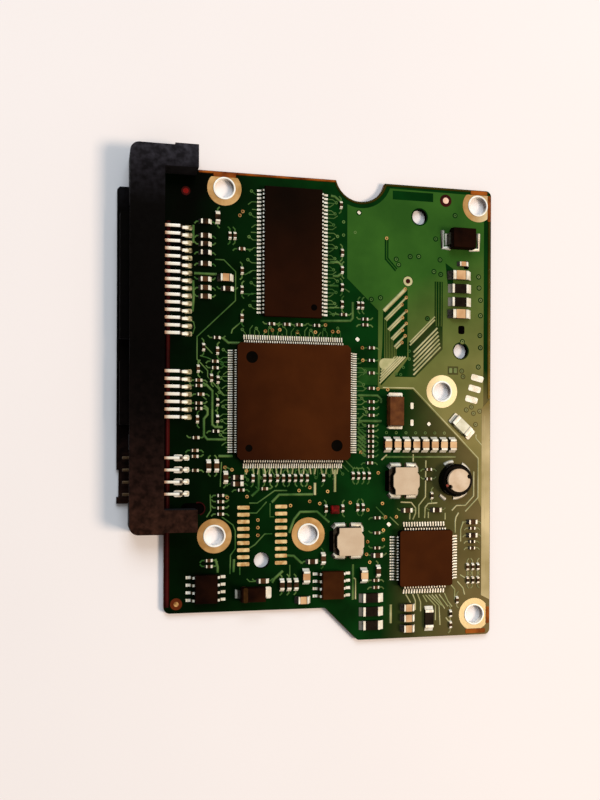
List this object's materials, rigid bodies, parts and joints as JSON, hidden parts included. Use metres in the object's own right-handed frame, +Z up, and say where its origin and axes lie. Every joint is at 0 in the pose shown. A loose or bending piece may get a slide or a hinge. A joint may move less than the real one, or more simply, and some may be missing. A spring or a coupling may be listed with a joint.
{
  "type": "hard drive circuit board",
  "caption": "Hard drive controller board: edge connector, leaded chips, coils and chip passives on a notched board drilled for screws.",
  "frame": {"origin": "axis of the middle screw hole, on the board's underside", "axes": "+X from the connector to the opposite edge, +Y along the connector, +Z up from the component side"},
  "size_m": [0.0665, 0.0832, 0.0054],
  "materials": {
    "solder_mask": "green solder mask over glass-epoxy laminate",
    "connector_plastic": "black moulded plastic",
    "contact_metal": "plated contact strip",
    "chip_moulding": "dark moulded epoxy",
    "lead_metal": "tinned lead frame",
    "choke_casing": "beige pressed powder",
    "drum_plastic": "black casing round the winding",
    "drum_ferrite": "pale ferrite flange",
    "tantalum_moulding": "brown moulded epoxy",
    "fuse_ceramic": "dark ceramic",
    "capacitor_ceramic": "tan ceramic",
    "resistor_glaze": "black glaze over ceramic",
    "chip_ceramic": "small chip passives",
    "cap_metal": "tinned end caps",
    "sensor_moulding": "dark red moulded epoxy"
  },
  "bodies": {
    "root": {"circuit_board": "solder_mask", "connector_housing": "connector_plastic", "power_strips": "contact_metal", "signal_strips": "contact_metal", "jumper_posts": "contact_metal", "controller_body": "chip_moulding", "controller_leads": "lead_metal", "driver_body": "chip_moulding", "driver_leads": "lead_metal", "memory_body": "chip_moulding", "memory_leads": "lead_metal", "switch_bodies": "chip_moulding", "switch_leads": "lead_metal", "clamp_body": "chip_moulding", "clamp_tabs": "lead_metal", "rectifier_body": "chip_moulding", "rectifier_tabs": "lead_metal", "tantalum_body": "tantalum_moulding", "tantalum_tabs": "lead_metal", "shock_sensor": "sensor_moulding", "upper_choke": "choke_casing", "lower_choke": "choke_casing", "choke_foils": "lead_metal", "drum_casing": "drum_plastic", "drum_core": "drum_ferrite", "fuse_body": "fuse_ceramic", "fuse_caps": "cap_metal", "connector_chips": "chip_ceramic", "controller_chips": "chip_ceramic", "bus_chips": "chip_ceramic", "memory_chips": "chip_ceramic", "preamp_chips": "chip_ceramic", "switch_chips": "chip_ceramic", "driver_chips": "chip_ceramic", "filter_capacitors": "capacitor_ceramic", "sense_resistors": "resistor_glaze"}
  },
  "joints": []
}
